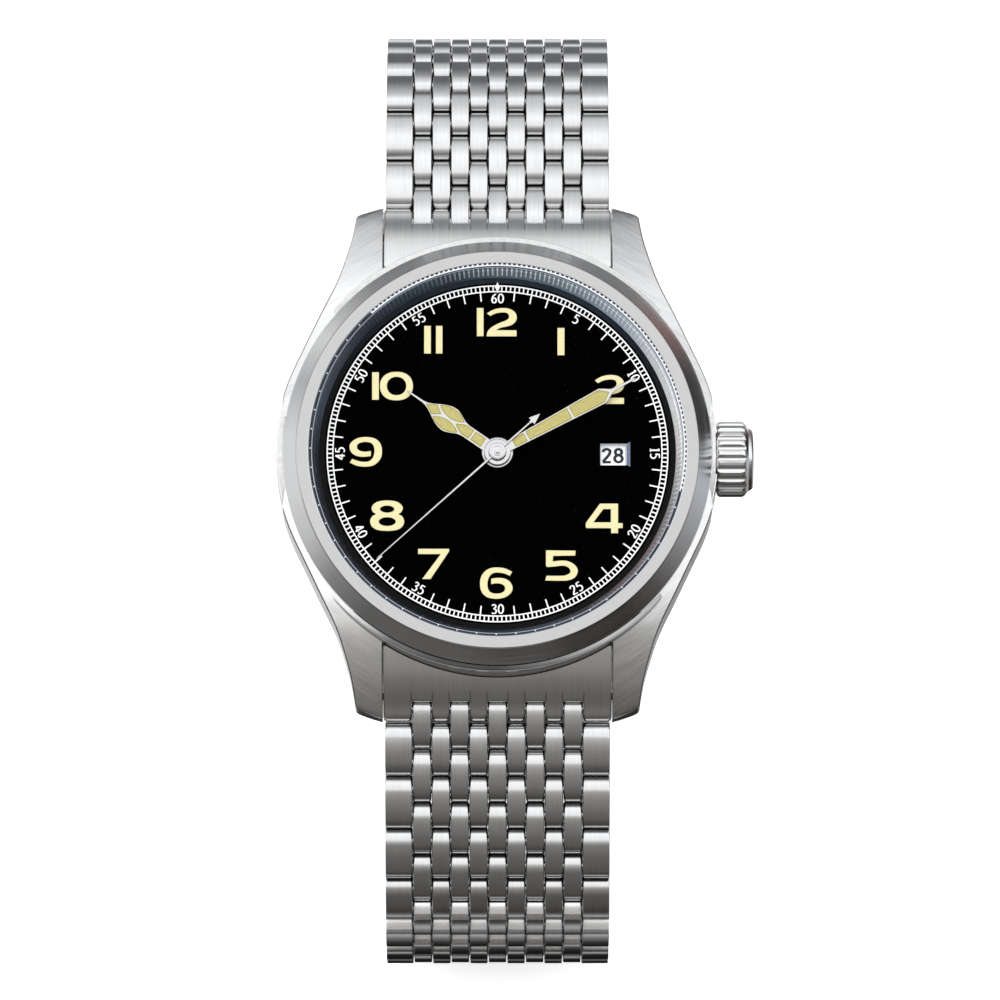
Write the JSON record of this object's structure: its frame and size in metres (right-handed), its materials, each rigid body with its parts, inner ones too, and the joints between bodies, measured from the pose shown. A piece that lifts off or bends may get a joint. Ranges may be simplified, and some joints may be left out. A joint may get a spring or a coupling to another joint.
{
  "type": "pilot wristwatch",
  "caption": "Round steel pilot wristwatch with a black numeral dial, fluted crown and a closed brick-pattern steel bracelet with a folding clasp.",
  "frame": {"origin": "centre of the case back's outer face, on the axis of the hands", "axes": "+Z out of the dial towards the crystal, +Y towards 12 o'clock, +X towards 3 o'clock and the crown"},
  "size_m": [0.0417, 0.083, 0.0434],
  "materials": {
    "case_steel": "brushed",
    "bezel_steel": "brushed slope, polished flat",
    "crystal": "polished",
    "gasket": "matte",
    "rehaut": "gloss",
    "dial_black": "matte",
    "polished_steel": "polished",
    "bracelet_steel": "brushed with polished edges",
    "ring_plastic": "matte",
    "movement_plate": "satin",
    "blued_steel": "gloss",
    "hand_steel": "polished",
    "wheel_brass": "satin",
    "rotor_metal": "satin",
    "crown_steel": "polished",
    "date_white": "matte",
    "case_back_steel": "brushed",
    "clasp_steel": "brushed",
    "lume_cream": "matte",
    "print_white": "matte"
  },
  "bodies": {
    "case": {"mid_case": "case_steel", "bezel": "bezel_steel", "crystal": "crystal", "crystal_gasket": "gasket", "chapter_ring": "rehaut", "dial": "dial_black", "case_back": "case_back_steel", "case_back_gasket": "gasket", "crown_tube": "polished_steel", "end_link_12": "bracelet_steel", "end_link_6": "bracelet_steel", "spring_bars": "polished_steel", "movement_ring": "ring_plastic", "mainplate": "movement_plate", "train_bridge": "movement_plate", "balance_cock": "movement_plate", "bridge_screws": "blued_steel"},
    "seconds": {"second_hand": "hand_steel", "fourth_wheel": "wheel_brass"},
    "minutes": {"minute_hand": "hand_steel", "centre_wheel": "wheel_brass"},
    "hours": {"hour_hand": "hand_steel", "hour_wheel": "wheel_brass"},
    "date": {"date_disc": "date_white"},
    "third": {"third_wheel": "wheel_brass"},
    "escape": {"escape_wheel": "polished_steel"},
    "going_barrel": {"barrel": "wheel_brass", "mainspring": "polished_steel"},
    "fork": {"pallet_fork": "polished_steel"},
    "balance": {"balance_wheel": "wheel_brass", "hairspring": "blued_steel"},
    "rotor": {"rotor": "rotor_metal"},
    "winding": {"winding_pinion": "polished_steel"},
    "crown": {"crown": "crown_steel", "winding_stem": "polished_steel"},
    "link_12_01": {"link_12_01": "bracelet_steel"},
    "link_12_02": {"link_12_02": "bracelet_steel"},
    "link_12_03": {"link_12_03": "bracelet_steel"},
    "link_12_04": {"link_12_04": "bracelet_steel"},
    "link_12_05": {"link_12_05": "bracelet_steel"},
    "link_12_06": {"link_12_06": "bracelet_steel"},
    "link_12_07": {"link_12_07": "bracelet_steel"},
    "link_12_08": {"link_12_08": "bracelet_steel"},
    "link_12_09": {"link_12_09": "bracelet_steel"},
    "link_12_10": {"link_12_10": "bracelet_steel"},
    "link_12_11": {"link_12_11": "bracelet_steel"},
    "link_6_01": {"link_6_01": "bracelet_steel"},
    "link_6_02": {"link_6_02": "bracelet_steel"},
    "link_6_03": {"link_6_03": "bracelet_steel"},
    "link_6_04": {"link_6_04": "bracelet_steel"},
    "link_6_05": {"link_6_05": "bracelet_steel"},
    "link_6_06": {"link_6_06": "bracelet_steel"},
    "link_6_07": {"link_6_07": "bracelet_steel"},
    "link_6_08": {"link_6_08": "bracelet_steel"},
    "link_6_09": {"link_6_09": "bracelet_steel"},
    "link_6_10": {"link_6_10": "bracelet_steel"},
    "link_6_11": {"link_6_11": "bracelet_steel"},
    "clasp_blade_inner": {"clasp_blade_inner": "clasp_steel"},
    "clasp_blade_outer": {"clasp_blade_outer": "clasp_steel"},
    "clasp_cover": {"clasp_cover": "clasp_steel"}
  },
  "joints": [
    {"name": "seconds_turn", "type": "hinge", "parent": "case", "child": "seconds", "pos_m": [0, 0, 0.0087], "axis": [0, 0, -1], "continuous": true},
    {"name": "minutes_turn", "type": "hinge", "parent": "case", "child": "minutes", "pos_m": [0, 0, 0.0084], "axis": [0, 0, -1], "continuous": true},
    {"name": "hours_turn", "type": "hinge", "parent": "case", "child": "hours", "pos_m": [0, 0, 0.0081], "axis": [0, 0, -1], "continuous": true},
    {"name": "date_turn", "type": "hinge", "parent": "case", "child": "date", "pos_m": [0, 0, 0.007], "axis": [0, 0, -1], "continuous": true},
    {"name": "third_wheel_turn", "type": "hinge", "parent": "case", "child": "third", "pos_m": [-0.00374, -0.00272, 0.004], "axis": [0, 0, -1], "continuous": true},
    {"name": "escape_wheel_turn", "type": "hinge", "parent": "case", "child": "escape", "pos_m": [0.00265, -0.00223, 0.004], "axis": [0, 0, -1], "continuous": true},
    {"name": "barrel_turn", "type": "hinge", "parent": "case", "child": "going_barrel", "pos_m": [-0.00546, 0.00315, 0.0046], "axis": [0, 0, -1], "continuous": true},
    {"name": "pallet_fork_rock", "type": "hinge", "parent": "case", "child": "fork", "pos_m": [0.00337, -0.00488, 0.0044], "axis": [0, 0, -1], "range_deg": [-5, 5]},
    {"name": "balance_swing", "type": "hinge", "parent": "case", "child": "balance", "pos_m": [0.00535, -0.00806, 0.0048], "axis": [0, 0, -1], "range_deg": [-220, 220]},
    {"name": "rotor_turn", "type": "hinge", "parent": "case", "child": "rotor", "pos_m": [0, 0, 0.002], "axis": [0, 0, -1], "continuous": true},
    {"name": "winding_turn", "type": "hinge", "parent": "case", "child": "winding", "pos_m": [0.0095, 0, 0.0046], "axis": [1, 0, 0], "continuous": true},
    {"name": "crown_pull", "type": "slide", "parent": "winding", "child": "crown", "axis": [1, 0, 0], "range_m": [0, 0.0015]},
    {"name": "bracelet_12_hinge_01", "type": "hinge", "parent": "case", "child": "link_12_01", "pos_m": [0, 0.0216, 0.00205], "axis": [1, 0, 0], "range_deg": [0, 21]},
    {"name": "bracelet_12_hinge_02", "type": "hinge", "parent": "link_12_01", "child": "link_12_02", "pos_m": [0, 0.02618, 0.00065], "axis": [1, 0, 0], "range_deg": [0, 6]},
    {"name": "bracelet_12_hinge_03", "type": "hinge", "parent": "link_12_02", "child": "link_12_03", "pos_m": [0, 0.03081, -0.00059], "axis": [1, 0, 0], "range_deg": [0, 22]},
    {"name": "bracelet_12_hinge_04", "type": "hinge", "parent": "link_12_03", "child": "link_12_04", "pos_m": [0, 0.03481, -0.00314], "axis": [1, 0, 0], "range_deg": [0, 24]},
    {"name": "bracelet_12_hinge_05", "type": "hinge", "parent": "link_12_04", "child": "link_12_05", "pos_m": [0, 0.03775, -0.0069], "axis": [1, 0, 0], "range_deg": [0, 18]},
    {"name": "bracelet_12_hinge_06", "type": "hinge", "parent": "link_12_05", "child": "link_12_06", "pos_m": [0, 0.0397, -0.01128], "axis": [1, 0, 0], "range_deg": [0, 18]},
    {"name": "bracelet_12_hinge_07", "type": "hinge", "parent": "link_12_06", "child": "link_12_07", "pos_m": [0, 0.04053, -0.016], "axis": [1, 0, 0], "range_deg": [0, 21]},
    {"name": "bracelet_12_hinge_08", "type": "hinge", "parent": "link_12_07", "child": "link_12_08", "pos_m": [0, 0.03995, -0.02074], "axis": [1, 0, 0], "range_deg": [0, 22]},
    {"name": "bracelet_12_hinge_09", "type": "hinge", "parent": "link_12_08", "child": "link_12_09", "pos_m": [0, 0.03789, -0.02506], "axis": [1, 0, 0], "range_deg": [0, 24]},
    {"name": "bracelet_12_hinge_10", "type": "hinge", "parent": "link_12_09", "child": "link_12_10", "pos_m": [0, 0.03451, -0.02844], "axis": [1, 0, 0], "range_deg": [0, 23]},
    {"name": "bracelet_12_hinge_11", "type": "hinge", "parent": "link_12_10", "child": "link_12_11", "pos_m": [0, 0.03021, -0.03054], "axis": [1, 0, 0], "range_deg": [0, 25]},
    {"name": "bracelet_6_hinge_01", "type": "hinge", "parent": "case", "child": "link_6_01", "pos_m": [0, -0.0216, 0.00205], "axis": [-1, 0, 0], "range_deg": [0, 26]},
    {"name": "bracelet_6_hinge_02", "type": "hinge", "parent": "link_6_01", "child": "link_6_02", "pos_m": [0, -0.02607, 0.00029], "axis": [-1, 0, 0], "range_deg": [0, 6]},
    {"name": "bracelet_6_hinge_03", "type": "hinge", "parent": "link_6_02", "child": "link_6_03", "pos_m": [0, -0.03045, -0.00166], "axis": [-1, 0, 0], "range_deg": [0, 10]},
    {"name": "bracelet_6_hinge_04", "type": "hinge", "parent": "link_6_03", "child": "link_6_04", "pos_m": [0, -0.03458, -0.00409], "axis": [-1, 0, 0], "range_deg": [0, 20]},
    {"name": "bracelet_6_hinge_05", "type": "hinge", "parent": "link_6_04", "child": "link_6_05", "pos_m": [0, -0.03787, -0.00756], "axis": [-1, 0, 0], "range_deg": [0, 24]},
    {"name": "bracelet_6_hinge_06", "type": "hinge", "parent": "link_6_05", "child": "link_6_06", "pos_m": [0, -0.03974, -0.01196], "axis": [-1, 0, 0], "range_deg": [0, 20]},
    {"name": "bracelet_6_hinge_07", "type": "hinge", "parent": "link_6_06", "child": "link_6_07", "pos_m": [0, -0.04028, -0.01672], "axis": [-1, 0, 0], "range_deg": [0, 15]},
    {"name": "bracelet_6_hinge_08", "type": "hinge", "parent": "link_6_07", "child": "link_6_08", "pos_m": [0, -0.03991, -0.0215], "axis": [-1, 0, 0], "range_deg": [0, 18]},
    {"name": "bracelet_6_hinge_09", "type": "hinge", "parent": "link_6_08", "child": "link_6_09", "pos_m": [0, -0.03835, -0.02602], "axis": [-1, 0, 0], "range_deg": [0, 29]},
    {"name": "bracelet_6_hinge_10", "type": "hinge", "parent": "link_6_09", "child": "link_6_10", "pos_m": [0, -0.03504, -0.02945], "axis": [-1, 0, 0], "range_deg": [0, 30]},
    {"name": "bracelet_6_hinge_11", "type": "hinge", "parent": "link_6_10", "child": "link_6_11", "pos_m": [0, -0.03054, -0.03105], "axis": [-1, 0, 0], "range_deg": [0, 20]},
    {"name": "clasp_inner_hinge", "type": "hinge", "parent": "link_12_11", "child": "clasp_blade_inner", "pos_m": [0, 0.02545, -0.03096], "axis": [1, 0, 0], "range_deg": [0, 25]},
    {"name": "clasp_middle_hinge", "type": "hinge", "parent": "clasp_blade_inner", "child": "clasp_blade_outer", "pos_m": [0, -0.0175, -0.03105], "axis": [-1, 0, 0], "range_deg": [0, 120]},
    {"name": "clasp_cover_hinge", "type": "hinge", "parent": "clasp_blade_outer", "child": "clasp_cover", "pos_m": [0, 0.017, -0.03195], "axis": [1, 0, 0], "range_deg": [0, 120]}
  ],
  "couplings": [
    {"joint": "minutes_turn", "follows": "seconds_turn", "ratio": 0.016667},
    {"joint": "hours_turn", "follows": "seconds_turn", "ratio": 0.0013889},
    {"joint": "date_turn", "follows": "seconds_turn", "ratio": 0.000022401},
    {"joint": "third_wheel_turn", "follows": "seconds_turn", "ratio": -0.1},
    {"joint": "escape_wheel_turn", "follows": "seconds_turn", "ratio": -10},
    {"joint": "barrel_turn", "follows": "seconds_turn", "ratio": -0.0025641},
    {"joint": "clasp_middle_hinge", "follows": "clasp_cover_hinge", "ratio": 1}
  ]
}
